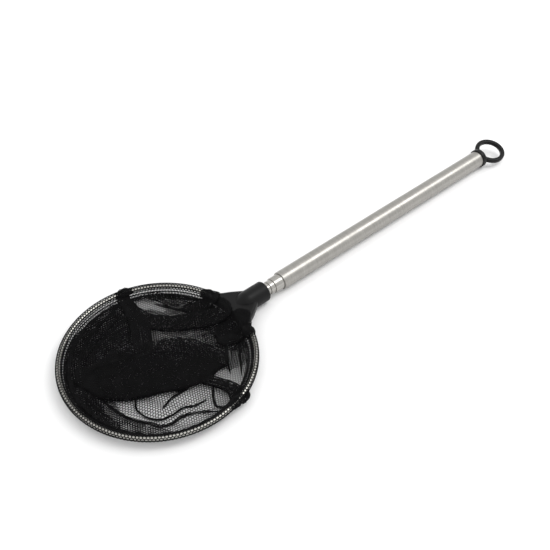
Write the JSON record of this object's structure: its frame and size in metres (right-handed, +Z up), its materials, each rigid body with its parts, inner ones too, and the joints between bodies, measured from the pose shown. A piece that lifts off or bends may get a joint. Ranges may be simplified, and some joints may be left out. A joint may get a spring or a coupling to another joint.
{
  "type": "telescopic skimmer net",
  "caption": "Hand skimmer net with a round netted hoop on a telescopic stainless handle and a hanging ring at its end.",
  "frame": {"origin": "under the middle of the net's length, on the surface that it lies on", "axes": "+X along the handle, from the hoop to the hanging ring; +Z up, square to the hoop's plane"},
  "size_m": [0.4679, 0.15, 0.017],
  "materials": {
    "brushed_steel": "satin, brushed along the tube",
    "plain_steel": "bare drawn steel",
    "bright_rod": "bright drawn wire",
    "black_plastic": "moulded, satin",
    "black_rubber": "moulded, soft satin",
    "white_nylon": "natural nylon",
    "net_fabric": "knitted hexagonal mesh",
    "black_thread": "twisted thread"
  },
  "bodies": {
    "grip": {"grip_tube": "brushed_steel", "end_cap": "black_plastic"},
    "bush_2": {"stage_2_bush": "white_nylon"},
    "stage_2": {"stage_2_tube": "brushed_steel", "stage_2_end_ferrule": "plain_steel"},
    "bush_3": {"stage_3_bush": "white_nylon"},
    "stage_3": {"stage_3_tube": "brushed_steel", "stage_3_end_ferrule": "plain_steel"},
    "bush_4": {"stage_4_bush": "white_nylon"},
    "head": {"stage_4_tube": "brushed_steel", "stage_4_end_ferrule": "plain_steel", "yoke": "black_rubber", "leg_crimp": "plain_steel", "hoop_rod": "bright_rod", "rim_sleeve": "net_fabric", "hem_stitching": "black_thread", "net_panel_far": "net_fabric", "net_panel_near": "net_fabric", "bag_seam": "black_thread", "seam_tab_left": "black_thread", "seam_tab_right": "black_thread"}
  },
  "joints": [
    {"name": "stage_2_slide", "type": "slide", "parent": "grip", "child": "bush_2", "axis": [-1, 0, 0], "range_m": [0, 0.2135]},
    {"name": "stage_2_twist", "type": "hinge", "parent": "bush_2", "child": "stage_2", "pos_m": [0.1, 0, 0.0085], "axis": [1, 0, 0], "continuous": true},
    {"name": "stage_3_slide", "type": "slide", "parent": "stage_2", "child": "bush_3", "axis": [-1, 0, 0], "range_m": [0, 0.2073]},
    {"name": "stage_3_twist", "type": "hinge", "parent": "bush_3", "child": "stage_3", "pos_m": [0.1, 0, 0.0085], "axis": [1, 0, 0], "continuous": true},
    {"name": "stage_4_slide", "type": "slide", "parent": "stage_3", "child": "bush_4", "axis": [-1, 0, 0], "range_m": [0, 0.1971]},
    {"name": "head_twist", "type": "hinge", "parent": "bush_4", "child": "head", "pos_m": [0.1, 0, 0.0085], "axis": [1, 0, 0], "continuous": true}
  ]
}
